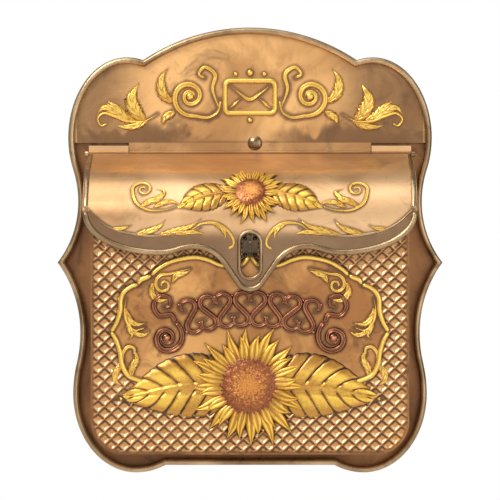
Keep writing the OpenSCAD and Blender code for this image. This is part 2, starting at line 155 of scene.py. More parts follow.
def spiral(centre, r_out, r_in, start, turns, steps=40):
    """Spiral from r_out in to r_in; turns is negative for clockwise."""
    out = []
    for i in range(steps + 1):
        t = i / steps
        a = math.radians(start) + 2 * math.pi * turns * t
        r = r_out * (r_in / r_out) ** t
        out.append((centre[0] + r * math.cos(a), centre[1] + r * math.sin(a)))
    return out


def flip(path):
    return [(-x, z) for x, z in path]


def evenly(path, count):
    """count + 1 places along a path, each with the direction across it, to its left."""
    lengths = [0]
    for a, b in zip(path, path[1:]):
        lengths.append(lengths[-1] + math.dist(a, b))
    out, k = [], 0
    for i in range(count + 1):
        want = lengths[-1] * i / count
        while k < len(path) - 2 and lengths[k + 1] < want:
            k += 1
        span = max(1e-9, lengths[k + 1] - lengths[k])
        t = (want - lengths[k]) / span
        out.append((lerp(path[k][0], path[k + 1][0], t), lerp(path[k][1], path[k + 1][1], t)))
    normals = []
    for i in range(count + 1):
        a, b = out[max(0, i - 1)], out[min(count, i + 1)]
        d = math.dist(a, b) or 1
        normals.append((-(b[1] - a[1]) / d, (b[0] - a[0]) / d))
    return out, normals, lengths[-1]


# ---------------------------------------------------------------- making pieces
BURIED = 0.5                                     # how far the foot of raised work is sunk in its face
JOIN = 2e-6                                      # metres within which vertices are one
SLIVER = 1e-6
STROKE_FRONT, STROKE_BACK = 0.8, 0.2             # shares of a section's way round
LEAF_FRONT, LEAF_BACK = 0.82, 0.18
VEIN_W = 0.085                                   # share of the space between two veins
STROKE_STEP = 1.1
CREST_POWER = 1.4


class Relief:
    """One piece of raised work on a face of the box, gathered from closed lofted shapes.

    The attribute "raise" goes from 0 at the foot of a shape to 1 on its crest; on the quilted ground it
    carries a painted highlight and painted shade instead. The trail holds places that the work covers,
    each with a radius, for the painted shade and antiquing round it."""

    def __init__(self, place):
        self.place = place
        self.bm = bmesh.new()
        self.bm.verts.layers.float.new("raise")
        self.trail = []

    def grid(self, along, across, shape):
        """A grid laid out by shape(u, a), which gives (x, z, h, raise), and the (x, z) of its vertices."""
        part = bmesh.new()
        bmesh.ops.create_grid(part, x_segments=along, y_segments=across, size=0.5)
        lift = part.verts.layers.float.new("raise")
        flat = {}
        for v in part.verts:
            x, z, h, v[lift] = shape(v.co.x + 0.5, v.co.y + 0.5)
            flat[v] = (x, z)
            v.co = self.place(x, z, h)
        return part, flat

    def gather(self, part):
        mesh = bpy.data.meshes.new("part")
        part.to_mesh(mesh)
        part.free()
        self.bm.from_mesh(mesh)
        bpy.data.meshes.remove(mesh)

    def loft(self, along, across, shape):
        """Adds a closed shape: u of shape(u, a) runs along it and a right round its section."""
        part, _ = self.grid(along, across, shape)
        bmesh.ops.remove_doubles(part, verts=part.verts, dist=JOIN)
        bmesh.ops.dissolve_degenerate(part, edges=part.edges, dist=SLIVER)
        bmesh.ops.holes_fill(part, edges=[e for e in part.edges if e.is_boundary], sides=0)
        bmesh.ops.recalc_face_normals(part, faces=part.faces)
        if part.calc_volume(signed=True) < 0:
            bmesh.ops.reverse_faces(part, faces=part.faces)
        self.gather(part)

    def stroke(self, path, width, height, tip=0.0, tail=0.0, groove=0.0, across=14, foot=0.0):
        """A raised line: width and height in the middle, narrowed to the shares tip and tail at its
        start and end, with an optional groove down its crest."""
        drawn = sum(math.dist(a, b) for a, b in zip(path, path[1:]))
        spots, normals, length = evenly(path, max(8, int(drawn / STROKE_STEP)))
        last = len(spots) - 1
        self.trail += [(x, z, width / 2) for x, z in spots]

        def shape(u, a):
            i = round(u * last)
            (x, z), (nx, nz) = spots[i], normals[i]
            end = min(u, 1 - u) * length
            cap = math.sqrt(max(0, 1 - (1 - min(1, end / (width * 0.5))) ** 2))
            thin = lerp(tip, 1, step(u, 0, 0.5)) * lerp(tail, 1, step(1 - u, 0, 0.5))
            half = width / 2 * thin * cap
            if a < STROKE_FRONT:
                c = -math.cos(math.pi * a / STROKE_FRONT)
                crest = math.sqrt(max(0, 1 - c * c))
                crest *= 1 - groove * math.exp(-(c / 0.28) ** 2)
                h = foot - BURIED + (height * (0.35 + 0.65 * thin) * cap + BURIED) * crest
            else:
                c = 1 - 2 * (a - STROKE_FRONT) / STROKE_BACK
                h, crest = foot - BURIED, 0
            return x + nx * half * c, z + nz * half * c, h, crest ** CREST_POWER

        self.loft(last, across, shape)

    def dome(self, x, z, r, height, rings=8, around=24, bumps=0.0, foot=0.0):
        """A low round boss, grained with seeds if bumps is given."""
        self.trail.append((x, z, r))

        def shape(u, t):
            turn = 2 * math.pi * u
            h = height * math.sqrt(max(0, 1 - t ** 2.6))
            across, up = r * t * math.cos(turn), r * t * math.sin(turn)
            seeds = (math.cos(3.3 * across + 1.9 * math.sin(2.3 * up)) *
                     math.cos(3.3 * up + 1.9 * math.sin(2.7 * across)))
            fade = step(t, 0.15, 0.5) * (1 - step(t, 0.93, 1))
            h += bumps * fade * seeds
            lift = 1 - 0.75 * t ** 1.6 + 0.22 * seeds * fade if bumps else 1 - t * t
            return x + across, z + up, foot + h - BURIED * step(t, 0.97, 1), min(1, max(0, lift))

        self.loft(around, rings, shape)

    def leaf(self, path, width, height, veins=6, teeth=0.06, slant=0.55, foot=0.0, along=60, across=28,
             root=0.72):
        """A leaf along a path from its root to its tip, with a midrib and side veins, or a petal with
        a furrow if it has no veins. A smaller root puts its widest place nearer its root."""
        spots, normals, length = evenly(path, along)
        last = len(spots) - 1

        def fullness(u):
            return math.sin(math.pi * min(1, u ** root)) ** lerp(0.65, 1.35, u) if 0 < u < 1 else 0

        self.trail += [(x, z, width * 0.46 * fullness(i / last)) for i, (x, z) in enumerate(spots)]

        def shape(u, a):
            i = round(u * last)
            (x, z), (nx, nz) = spots[i], normals[i]
            full = fullness(u)
            front = a < LEAF_FRONT
            c = 2 * a / LEAF_FRONT - 1 if front else 1 - 2 * (a - LEAF_FRONT) / LEAF_BACK
            saw = (u * veins * 2 - slant * abs(c)) % 1
            half = width / 2 * full * (1 + teeth * (saw - 0.5) * step(abs(c), 0.7, 1))
            if front:
                body = max(0, 1 - abs(c) ** 3) ** 0.7
                rib = math.exp(-(c / (0.07 if veins else 0.12)) ** 2)
                phase = (u * veins - slant * abs(c) * veins * 0.35) % 1
                vein = math.exp(-((phase - 0.5) / VEIN_W) ** 2) * step(abs(c), 0.04, 0.14) if veins else 0
                cup = 1 - 0.28 * math.exp(-((abs(c) - 0.13) / 0.1) ** 2)
                h = height * (0.45 + 0.55 * math.sin(math.pi * u) ** 0.6) * body * cup
                h += height * (0.16 if veins else -0.30) * rib * step(1 - u, 0, 0.1)
                h -= height * 0.34 * vein * body
                lift = body * (1 - 0.95 * vein) * (0.4 + 0.6 * cup) * (1 - 0.45 * (1 - u) ** 3)
                lift *= 1 - (0.15 if veins else 0.5) * rib
                h = foot + h * step(full, 0, 0.35) - BURIED * (1 - body)
            else:
                h, lift = foot - BURIED, 0
            return x + nx * half * c, z + nz * half * c, h, lift

        self.loft(last, across, shape)

    def skin(self, along, across, shape, keep=None):
        """Adds an open sheet over a face; keep(x, z) says which of its faces stay."""
        part, flat = self.grid(along, across, shape)
        if keep:
            gone = [f for f in part.faces
                    if not keep(sum(flat[v][0] for v in f.verts) / 4, sum(flat[v][1] for v in f.verts) / 4)]
            bmesh.ops.delete(part, geom=gone, context="FACES")
        bmesh.ops.recalc_face_normals(part, faces=part.faces)
        if sum(f.normal.y for f in part.faces) > 0:
            bmesh.ops.reverse_faces(part, faces=part.faces)
        self.gather(part)

    def finish(self, name, body, slot, material, replaces=()):
        mesh = bpy.data.meshes.new(name)
        self.bm.to_mesh(mesh)
        self.bm.free()
        mesh.shade_smooth()
        piece = bpy.data.objects.new(name, mesh)
        bpy.context.scene.collection.objects.link(piece)
        piece.data.materials.append(material)
        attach(piece, body)
        if replaces:
            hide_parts(*replaces)
        return piece


# ---------------------------------------------------------------- shader maths
class Sock:
    """A shader socket that takes part in Python expressions."""

    def __init__(self, finish, socket):
        self.finish, self.socket = finish, socket

    def _math(self, operation, first, second):
        return self.finish.node("ShaderNodeMath", {"operation": operation}, {0: first, 1: second})

    def __add__(self, other):
        return self._math("ADD", self, other)

    __radd__ = __add__

    def __mul__(self, other):
        return self._math("MULTIPLY", self, other)

    __rmul__ = __mul__

    def __sub__(self, other):
        return self._math("SUBTRACT", self, other)

    def __rsub__(self, other):
        return self._math("SUBTRACT", other, self)

    def between(self, start, end):
        """0 below start, 1 above end, smooth between."""
        return self.finish.node("ShaderNodeMapRange", {"interpolation_type": "SMOOTHSTEP"},
                                {"Value": self, "From Min": start, "From Max": end})


class Finish:
    """A material and the nodes that make it."""

    def __init__(self, name, metallic, coat=0.0, coat_roughness=0.2):
        self.material = bpy.data.materials.new(name)
        self.material.use_nodes = True
        self.tree = self.material.node_tree
        self.shader = self.tree.nodes["Principled BSDF"]
        self.shader.inputs["Metallic"].default_value = metallic
        self.shader.inputs["Coat Weight"].default_value = coat
        self.shader.inputs["Coat Roughness"].default_value = coat_roughness
        self.place = self.node("ShaderNodeTexCoord", {}, {}, "Object")

    def node(self, kind, settings, inputs, output=0):
        made = self.tree.nodes.new(kind)
        for key, value in settings.items():
            setattr(made, key, value)
        for key, value in inputs.items():
            self.feed(made.inputs[key], value)
        return Sock(self, made.outputs[output])

    def feed(self, target, value):
        if isinstance(value, Sock):
            self.tree.links.new(value.socket, target)
        elif isinstance(value, tuple) and len(value) == 3 and target.type == "RGBA":
            target.default_value = (*value, 1)
        else:
            target.default_value = value

    def noise(self, scale, detail=4.0, roughness=0.55, distortion=0.0, place=None):
        return self.node("ShaderNodeTexNoise", {}, {
            "Vector": place or self.place, "Scale": scale, "Detail": detail, "Roughness": roughness,
            "Distortion": distortion})

    def stretched(self, x, y, z):
        """Object places squeezed, so that a pattern on them runs long in one direction."""
        return self.node("ShaderNodeMapping", {}, {"Vector": self.place, "Scale": (x, y, z)})

    def along(self, axis):
        """Object place along x, y or z, given as 0, 1 or 2."""
        return self.node("ShaderNodeSeparateXYZ", {}, {"Vector": self.place}, axis)

    def attribute(self, name):
        return self.node("ShaderNodeAttribute", {"attribute_name": name}, {}, "Fac")

    def mix(self, share, first, second, blend="MIX"):
        made = self.tree.nodes.new("ShaderNodeMix")
        made.data_type = "RGBA"
        made.blend_type = blend
        self.feed(made.inputs[0], share)
        self.feed(made.inputs[6], first)
        self.feed(made.inputs[7], second)
        return Sock(self, made.outputs[2])

    def bump(self, height, strength, distance):
        return self.node("ShaderNodeBump", {}, {"Height": height, "Strength": strength, "Distance": distance})

    def done(self, color, roughness, normal=None):
        self.feed(self.shader.inputs["Base Color"], color)
        self.feed(self.shader.inputs["Roughness"], roughness)
        if normal:
            self.feed(self.shader.inputs["Normal"], normal)
        return self.material


def aged_bronze(name, dark, mid, light, metallic=0.7, rough=0.38, cloud=14.0, stain=0.55, brushed=0.0,
                shade_and_antiquing=False, shade_from=None, shade_to=None, speck=0.25, grain=420, hollow=None, flank=None,
                crest=None, crest_from=0.0, crest_span=1.0):
    """Lacquered bronze: clouds of tone, stains, fine scratches, and antiquing in what lies low.

    On raised work, hollow, flank and crest are its colours from the foot up, by "raise"; on the quilted
    ground they also give its painted highlight and painted shade. The darkening named shade_and_antiquing
    follows the attribute of that name and is painted shade and antiquing, and shade_from to shade_to is a
    height in metres under which painted shade keeps the metal dark."""
    f = Finish(name, metallic, coat=0.25, coat_roughness=0.25)
    clouds = f.noise(cloud, 5, 0.6, 0.6)
    blots = f.noise(cloud * 2.6, 6, 0.65, 1.2)
    fine = f.noise(grain, 3, 0.6)
    color = f.mix(clouds.between(0.38, 0.62), mid, light)
    color = f.mix(blots.between(0.52, 0.70) * stain, color, dark)
    if brushed:
        hair = f.noise(60, 4, 0.7, 0, f.stretched(0.06, 1, 1.4))
        color = f.mix(hair.between(0.35, 0.7) * brushed, color, light)
    if crest:
        # By "raise": antiquing and wear on raised work; on the quilted ground, painted highlight and painted
        # shade.
        wear_and_light = f.attribute("raise") + (fine - 0.5) * speck + (clouds - 0.5) * 0.3
        sunk = wear_and_light.between(crest_from, crest_from + crest_span * 0.4)
        highlight_and_wear = wear_and_light.between(crest_from + crest_span * 0.6, crest_from + crest_span)
        color = f.mix(highlight_and_wear, f.mix(sunk, hollow, flank), crest)
        color = f.mix(blots.between(0.5, 0.72) * (stain * 0.5), color, mid)
    if shade_from:
        # painted shade below the given height
        color = f.mix(f.along(2).between(shade_from, shade_to) * 0.9, dark, color)
    # painted shade and antiquing round raised work, read from the attribute
    if shade_and_antiquing:
        shade_and_antiquing_share = f.attribute("shade_and_antiquing") + (blots - 0.5) * 0.5
        color = f.mix(shade_and_antiquing_share.between(0.25, 0.95) * 0.85, color, dark)
    roughness = rough + (clouds - 0.5) * 0.18 + (fine - 0.5) * 0.12
    return f.done(color, roughness, f.bump(fine * 0.35 + blots, 0.22, 0.0006))


def plain_steel(name):
    f = Finish(name, 1.0)
    hair = f.noise(90, 3, 0.6, 0, f.stretched(0.08, 1, 1))
    return f.done(f.mix(hair, (0.32, 0.30, 0.27), (0.55, 0.52, 0.47)), 0.34 + (hair - 0.5) * 0.2,
                  f.bump(hair, 0.1, 0.0003))


# Colours run from dark through mid to light.
GROUND = aged_bronze("header_bronze", (0.15, 0.070, 0.028), (0.52, 0.255, 0.085), (0.92, 0.52, 0.20),
                     shade_and_antiquing=True, cloud=11, stain=0.6)
FIELD = aged_bronze("panel_bronze", (0.10, 0.042, 0.016), (0.40, 0.165, 0.045), (0.76, 0.39, 0.125),
                    shade_and_antiquing=True, cloud=13, stain=0.6)
# The tongue is dark low down: painted shade on the underside of its knuckle.
TONGUE = aged_bronze("tongue_bronze", (0.10, 0.048, 0.02), (0.46, 0.225, 0.08), (0.74, 0.42, 0.17),
                     cloud=11, stain=0.6, shade_from=0.0752, shade_to=0.0785)
SATIN = aged_bronze("lid_bronze", (0.15, 0.078, 0.038), (0.60, 0.33, 0.14), (0.84, 0.53, 0.27),
                    rough=0.36, cloud=7, stain=0.35, brushed=0.45, shade_and_antiquing=True, metallic=0.75)
SHELL = aged_bronze("sheet_bronze", (0.055, 0.025, 0.010), (0.25, 0.105, 0.032), (0.42, 0.19, 0.062), cloud=12)
RIM = aged_bronze("rim_bronze", (0.07, 0.036, 0.016), (0.30, 0.185, 0.088), (0.60, 0.42, 0.23), rough=0.30,
                  cloud=16, stain=0.4, metallic=0.85)
HEM = aged_bronze("hem_bronze", (0.10, 0.058, 0.028), (0.32, 0.205, 0.105), (0.52, 0.37, 0.20), rough=0.28,
                  cloud=18, stain=0.4, metallic=0.85)
# On the quilt, crest is the colour of the painted highlight on the pads' lower walls and hollow that of the
# painted shade on their upper walls.
QUILT = aged_bronze("quilt_bronze", (0.050, 0.024, 0.010), (0.40, 0.18, 0.06), (0.30, 0.14, 0.05),
                    hollow=(0.12, 0.050, 0.018), flank=(0.60, 0.285, 0.098), crest=(0.96, 0.64, 0.34),
                    crest_from=0.10, crest_span=0.75, cloud=16, metallic=0.7, rough=0.34, shade_and_antiquing=True)
GOLD = aged_bronze("raised_gold", (0.13, 0.062, 0.022), (0.50, 0.24, 0.05), (0.86, 0.58, 0.12),
                   hollow=(0.055, 0.022, 0.008), flank=(0.70, 0.36, 0.06), crest=(0.97, 0.64, 0.13),
                   crest_from=0.12, crest_span=0.72, stain=0.4, rough=0.28, metallic=0.65, cloud=20)
PETAL = aged_bronze("petal_gold", (0.13, 0.062, 0.022), (0.62, 0.31, 0.05), (0.95, 0.66, 0.14),
                    hollow=(0.045, 0.018, 0.006), flank=(0.54, 0.255, 0.040), crest=(0.97, 0.61, 0.085),
                    crest_from=0.20, crest_span=0.75, stain=0.5, rough=0.30, metallic=0.6, cloud=24)
COPPER = aged_bronze("raised_copper", (0.06, 0.022, 0.011), (0.19, 0.066, 0.028), (0.36, 0.14, 0.060),
                     hollow=(0.030, 0.010, 0.006), flank=(0.24, 0.080, 0.036), crest=(0.70, 0.31, 0.155),
                     crest_from=0.14, crest_span=0.86, stain=0.5, rough=0.17, metallic=0.95, cloud=26)
SEED = aged_bronze("seed_copper", (0.07, 0.020, 0.010), (0.26, 0.075, 0.028), (0.50, 0.19, 0.07),
                   hollow=(0.15, 0.040, 0.014), flank=(0.33, 0.095, 0.028), crest=(0.68, 0.27, 0.050),
                   crest_from=0.15, crest_span=0.8, stain=0.3, rough=0.28, metallic=0.65, cloud=24, speck=1.6,
                   grain=640)
BRASS = aged_bronze("aged_brass", (0.18, 0.10, 0.03), (0.52, 0.34, 0.13), (0.72, 0.52, 0.24), rough=0.28,
                    metallic=0.9, cloud=30, stain=0.4)
# The hasp is blackened, and dark enough to stand in for the shade under the lid inside the slot.
HASP = aged_bronze("hasp_bronze_and_slot_shade", (0.015, 0.010, 0.007), (0.06, 0.036, 0.02), (0.13, 0.085, 0.05), rough=0.25,
                   metallic=0.9, cloud=30, stain=0.5)
STEEL = plain_steel("drawn_steel")


# ---------------------------------------------------------------- outlines
def upright_arc(p, q, steps=10):
    """Arc that is upright at p and ends at q, without p."""
    dx, dz = q[0] - p[0], q[1] - p[1]
    r = (dx * dx + dz * dz) / (2 * abs(dx))
    turn = math.asin(abs(dz) / r)
    side, rise = math.copysign(1, dx), math.copysign(1, dz)
    return [(p[0] + side * r * (1 - math.cos(turn * i / steps)), p[1] + rise * r * math.sin(turn * i / steps))
            for i in range(1, steps + 1)]


def level_arc(p, q, steps=10):
    """Arc that is level at p and ends at q, without p."""
    return [(x, z) for z, x in upright_arc((p[1], p[0]), (q[1], q[0]), steps)]


def back_along(curve, p, q, steps=10):
    """The same kind of arc run the other way: it starts at p and is upright or level at its end q."""
    return list(reversed(curve(q, p, steps)))[1:] + [q]


def waved(p, q, steps=8):
    """Two equal arcs from p to q, upright at both ends, without p."""
    middle = ((p[0] + q[0]) / 2, (p[1] + q[1]) / 2)
    return upright_arc(p, middle, steps) + back_along(upright_arc, middle, q, steps)


def with_mirror(half):
    """A right half from top or side to the middle line, then its mirror image back."""
    return half + [(-x, z) for x, z in reversed(half) if x > 1e-6]


def plate_outline():
    top, valley, shoulder_top, shoulder = (0, PLATE_TOP), (85.5, 152), (98.5, 154.2), (145.5, 90)
    waist, ear, low_waist, hip = (137.5, 38.5), (PLATE_EAR, -10), (135.8, -66), (141.5, -115)
    lobe, notch = (91, -PLATE_TOP), (67.5, NOTCH_RISE - PLATE_TOP)
    half = [top] + level_arc(top, valley, 26) + back_along(level_arc, valley, shoulder_top, 6)
    half += arc((shoulder_top[0], shoulder[1]), shoulder[0] - shoulder_top[0], 90, 0, 26,
                shoulder_top[1] - shoulder[1])[1:]
    half += waved(shoulder, waist) + upright_arc(waist, ear, 14)
    half += back_along(upright_arc, ear, low_waist, 14) + waved(low_waist, hip)
    half += arc((lobe[0], hip[1]), hip[0] - lobe[0], 0, -90, 26, hip[1] - lobe[1])[1:]
    half += level_arc(lobe, notch, 8)
    return with_mirror(half)


def hem_outline():
    """Middle line of the bead along the lid's scalloped edge, from right to left."""
    side, sag, crest, crest_r = (LID_HALF - HEM_R, HEM_SIDE_Z), (70, -1.7), (43, 2.9), 28
    tip, tip_r = (0, -29.9 + 11), 11
    centre = (crest[0], crest[1] - crest_r)
    turn = (sag[0] + crest[0]) / 2, (sag[1] + crest[1]) / 2
    apart = math.dist(centre, tip)
    dive = 180 + math.degrees(math.atan2(centre[1] - tip[1], centre[0] - tip[0])
                              + math.asin((crest_r + tip_r) / apart))
    half = [side] + arc((sag[0], side[1]), side[0] - sag[0], 0, -90, 28, side[1] - sag[1])[1:]
    half += level_arc(sag, turn, 5) + back_along(level_arc, turn, crest, 5)
    half += arc(centre, crest_r, 90, dive - 90, 16)[1:] + arc(tip, tip_r, dive + 90, 270, 14)
    return with_mirror(half)


def mitred(path, closed):
    """For each corner, how far and which way a unit of inset moves it; the path runs clockwise."""
    n, out = len(path), []

    def right(a, b):
        d = math.dist(a, b)
        return (b[1] - a[1]) / d, -(b[0] - a[0]) / d

    for i in range(n):
        before = right(path[i - 1], path[i]) if closed or i else right(path[0], path[1])
        after = right(path[i], path[(i + 1) % n]) if closed or i < n - 1 else before
        k = 1 + before[0] * after[0] + before[1] * after[1]
        out.append(((before[0] + after[0]) / k, (before[1] + after[1]) / k))
    return out


def inset(path, d, closed=True):
    return [(x + mx * d, z + mz * d) for (x, z), (mx, mz) in zip(path, mitred(path, closed))]


def tube(relief, path, r, h, closed, around=18):
    """A round bead along a path, its middle h above the face."""
    mitres = mitred(path, closed)
    last = len(path) if closed else len(path) - 1

    def shape(u, a):
        i = round(u * last) % len(path)
        turn = 2 * math.pi * a
        across = r * math.cos(turn)
        return (path[i][0] + mitres[i][0] * across, path[i][1] + mitres[i][1] * across,
                h + r * math.sin(turn), 0.5 + 0.5 * math.sin(turn))

    relief.loft(last, around, shape)


def inside(path, x, z):
    within = False
    for (x0, z0), (x1, z1) in zip(path, path[1:] + path[:1]):
        if (z0 > z) != (z1 > z) and x < (x1 - x0) * (z - z0) / (z1 - z0) + x0:
            within = not within
    return within


NEAREST = 5                                      # places of a trail looked at for the wash
NEAR_SHADE_AND_ANTIQUING = 0.85                                 # strength of the painted shade and antiquing at the foot of raised work


def near_trails(trails, spread):
    """How close a place lies to raised work: 1 at its foot, fading over the spread."""
    tree = kdtree.KDTree(len(trails))
    for i, (x, z, r) in enumerate(trails):
        tree.insert((x, z, 0), i)
    tree.balance()

    def shade_and_antiquing(x, z):
        return max((math.exp(-max(0, d - trails[i][2]) / spread)
                    for _, i, d in tree.find_n((x, z, 0), NEAREST)), default=0)

    return shade_and_antiquing


def add_shade_and_antiquing(piece, where):
    """Stores on the piece, for its finish, how dark the painted shade and antiquing lie at each vertex."""
    mesh = piece.data
    shade_and_antiquing_share = mesh.attributes.new("shade_and_antiquing", "FLOAT", "POINT")
    for i, v in enumerate(mesh.vertices):
        shade_and_antiquing_share.data[i].value = where(v.co)


# ---------------------------------------------------------------- rim and hem
def on_wall(x, z, h):
    return Vector((x, -h, z)) * MM


outline = plate_outline()
rim = Relief(on_wall)
tube(rim, inset(outline, RIM_R), RIM_R, RIM_OUT, True)
rim.finish("rim_bead", "box", "rim_bronze", RIM, ["rolled_rim"])

hem_path = hem_outline()
hem = Relief(on_lid)
tube(hem, hem_path, HEM_R, -SHEET / 2, False)
hem.finish("lid_bead", "lid", "brass_trim", HEM, ["lid_hem"])


# ---------------------------------------------------------------- ornament
def both_sides(relief, draw):
    """Draws the left side's ornament and then its mirror image."""
    draw(relief, lambda path: path)
    draw(relief, flip)


def acanthus(relief, side, path, width, height, lobes=5):
    relief.leaf(side(spline(path)), width, height, veins=lobes, teeth=0.75, slant=1.0, along=46, across=20)


def sunflower(petals, centre, disc_r, reach, count, width, height, foot=0.0):
    """Two rings of pointed petals, the front ring between and above the back one."""
    for ring, (share, lift) in enumerate(((1.0, 0.0), (0.86, 0.9))):
        for k in range(count):
            turn = 2 * math.pi * (k + 0.5 * ring + random.uniform(-0.12, 0.12)) / count
            length = reach * share * random.uniform(0.9, 1.04)
            way = math.cos(turn), math.sin(turn)
            lean = random.uniform(-0.05, 0.05) * length
            root = [(centre[0] + way[0] * d - way[1] * s, centre[1] + way[1] * d + way[0] * s)
                    for d, s in ((disc_r * 0.8, 0), (lerp(disc_r, length, 0.5), lean), (length, 0))]
            petals.leaf(spline(root), width * random.uniform(0.9, 1.1), height * random.uniform(0.85, 1.1),
                        veins=0, teeth=0, foot=foot + lift, along=20, across=18)


def scroll_pair(relief, side, centre, lean, mirror, size, width, height):
    """Two spirals joined by a diagonal, leant to follow the arch."""
    flat = [(3.6, 4.4), (5.6, 6.6), (4.2, 10.0), (0.4, 11.2), (-3.6, 9.2), (-4.2, 5.0), (0, 0)]
    flat += [(-x, -z) for x, z in reversed(flat[:-1])]
    c, s = math.cos(lean), math.sin(lean)
    path = [(centre[0] + size * (x * mirror * c - z * s), centre[1] + size * (x * mirror * s + z * c))
            for x, z in spline(flat)]
    relief.stroke(side(path), width, height, tip=0.55, tail=0.55, groove=0.42)


# Header: a letter emblem between two scrolls, with a leaf spray on each side.
emblem = Relief(on_header)
EMBLEM_Z = 122.5
LETTER_HALF_W, LETTER_HALF_H, LETTER_CORNER = 20.0, 13.0, 4
LETTER_EDGE_R = 2.1


def letter_outline():
    path = []
    for sx, sz, start in ((1, 1, 90), (1, -1, 0), (-1, -1, -90), (-1, 1, 180)):
        corner = sx * (LETTER_HALF_W - LETTER_CORNER), EMBLEM_Z + sz * (LETTER_HALF_H - LETTER_CORNER)
        path += arc(corner, LETTER_CORNER, start, start - 90, 6)
    return path


tube(emblem, letter_outline(), LETTER_EDGE_R, 0.2, True, 14)
emblem.trail += [(x, z, LETTER_EDGE_R) for x, z in letter_outline()]
emblem.stroke(spline([(-17.5, EMBLEM_Z + 10.5), (-7, EMBLEM_Z + 2), (0, EMBLEM_Z - 2), (7, EMBLEM_Z + 2),
                      (17.5, EMBLEM_Z + 10.5)]), 3.4, 2.0, groove=0.3)


def emblem_side(relief, side):
    relief.stroke(side([(-17, EMBLEM_Z - 10), (-7.5, EMBLEM_Z - 1)]), 2.6, 1.5)
    volute = spiral((-48, EMBLEM_Z + 0.5), 15.5, 3, -90, -1.75, 60)
    relief.stroke(side(list(reversed(volute)) + spline([(-44, EMBLEM_Z - 15.2), (-34, EMBLEM_Z - 16.5),
                                                        (-26, EMBLEM_Z - 12), (-23.6, EMBLEM_Z - 3)])[1:]),
                  5.2, 2.4, tip=0.7, tail=0.35, groove=0.35)
    relief.stroke(side(spline([(-25, EMBLEM_Z - 8), (-30, EMBLEM_Z + 6), (-28, EMBLEM_Z + 18),
                               (-36, EMBLEM_Z + 24), (-41, EMBLEM_Z + 18.5), (-36.5, EMBLEM_Z + 15.5)])),
                  4.2, 2.2, tip=0.3, tail=0.6, groove=0.3)
    relief.dome(*side([(-48, EMBLEM_Z + 0.5)])[0], 3.4, 2.2)
    relief.dome(*side([(-11.5, EMBLEM_Z + 18.5)])[0], 2.0, 1.6)
    acanthus(relief, side, [(-62, 118), (-70, 126), (-71, 137), (-66, 145)], 9, 2.2, 4)
    acanthus(relief, side, [(-60, 111), (-68, 106), (-70, 99.5)], 7, 1.8, 3)


both_sides(emblem, emblem_side)
emblem.dome(0, EMBLEM_Z + 19.5, 2.8, 2.0)
emblem.dome(0, EMBLEM_Z - 18.5, 2.2, 1.6)
emblem.finish("header_emblem", "box", "raised_gold", GOLD)

sprays = Relief(on_header)


def header_spray(relief, side):
    relief.stroke(side(spline([(-74, 109), (-84, 103.5), (-97, 103), (-108, 107), (-117, 109.5), (-122, 105),
                               (-119, 99.5), (-114.5, 101.5)])), 3.2, 1.8, tip=0.15, tail=0.6)
    acanthus(relief, side, [(-84, 103.5), (-91, 110), (-95, 121), (-89, 134)], 12.5, 2.4, 5)
    acanthus(relief, side, [(-92, 103), (-101, 107), (-107, 114), (-115, 120)], 9, 2.0, 4)
    acanthus(relief, side, [(-100, 104.5), (-108, 111), (-117, 114), (-123, 108)], 8, 1.9, 4)
    acanthus(relief, side, [(-82, 104), (-91, 99.5), (-101, 98.5), (-108, 100.5)], 6.5, 1.7, 4)


both_sides(sprays, header_spray)
sprays.finish("header_sprays", "box", "raised_gold", GOLD)

# Front panel: a scrolled border, a garland over a sunflower between two leaves, and quilting round it.
BORDER = (
    [(-0.5, -5), (-7, -12.5)],
    [(-7, -12.5), (-22, -11.6), (-33, -7.2), (-44, -5.4), (-60, -8.5), (-71, -14.6), (-76.1, -19.6)],
    [(-76.1, -19.6), (-80, -21.2), (-84.5, -23.2), (-86.4, -26.6)],
    [(-86.4, -26.6), (-92, -28.4), (-97.4, -32.6), (-99.8, -38.5), (-100.2, -47), (-103, -56), (-107.3, -63.3)],
    [(-107.3, -63.3), (-103.2, -70), (-100.4, -79), (-99, -88), (-94.6, -96.5), (-86.9, -100.4), (-78, -102.7)],
)
border = Relief(on_panel)


def border_side(relief, side):
    for part in BORDER:
        relief.stroke(side(spline(part)), 4.7, 2.2, tip=0.8, tail=0.8, foot=0.2)
    relief.stroke(side(spline([(-97.5, -90), (-98.5, -81), (-94.5, -75), (-89.5, -76), (-89.3, -81)])),
                  3.4, 2.0, tip=0.5, tail=0.7, groove=0.3)


both_sides(border, border_side)
border.finish("panel_border", "box", "raised_gold", GOLD)

fronds = Relief(on_panel)


def frond_side(relief, side):
    relief.stroke(side(list(reversed(spiral((-66.5, -27), 8.2, 1.8, 95, 1.35, 40)))
                       + spline([(-62, -18.6), (-55, -16.6), (-46, -14.5)])[1:]), 3.4, 2.0,
                  tip=0.6, tail=0.2, groove=0.35)
    acanthus(relief, side, [(-74.5, -25), (-76, -33), (-70, -39), (-61, -37)], 6, 1.8, 4)
    acanthus(relief, side, [(-60, -25.5), (-57, -20), (-50, -17.5), (-45, -15)], 5.5, 1.8, 3)
    relief.stroke(side(spline([(-95.5, -37), (-97, -47), (-95, -56), (-89, -62), (-81, -60)])), 2.8, 1.9,
                  tip=0.1, tail=0.3)
    acanthus(relief, side, [(-96, -45), (-93.5, -53), (-87.5, -57.5), (-79.5, -56)], 5.5, 1.8, 3)
    acanthus(relief, side, [(-95, -54), (-93, -61), (-91, -66), (-94, -69)], 5.0, 1.7, 3)
    acanthus(relief, side, [(-92.5, -60), (-87, -65), (-81, -65.5), (-77, -62)], 4.5, 1.7, 3)
    acanthus(relief, side, [(-98.5, -88), (-103.5, -94), (-104, -101), (-98, -105)], 6.5, 1.9, 4)
    acanthus(relief, side, [(-92, -99), (-91, -91), (-87.5, -84), (-90, -76)], 6.5, 1.9, 4)


both_sides(fronds, frond_side)
fronds.finish("panel_fronds", "box", "raised_gold", GOLD)

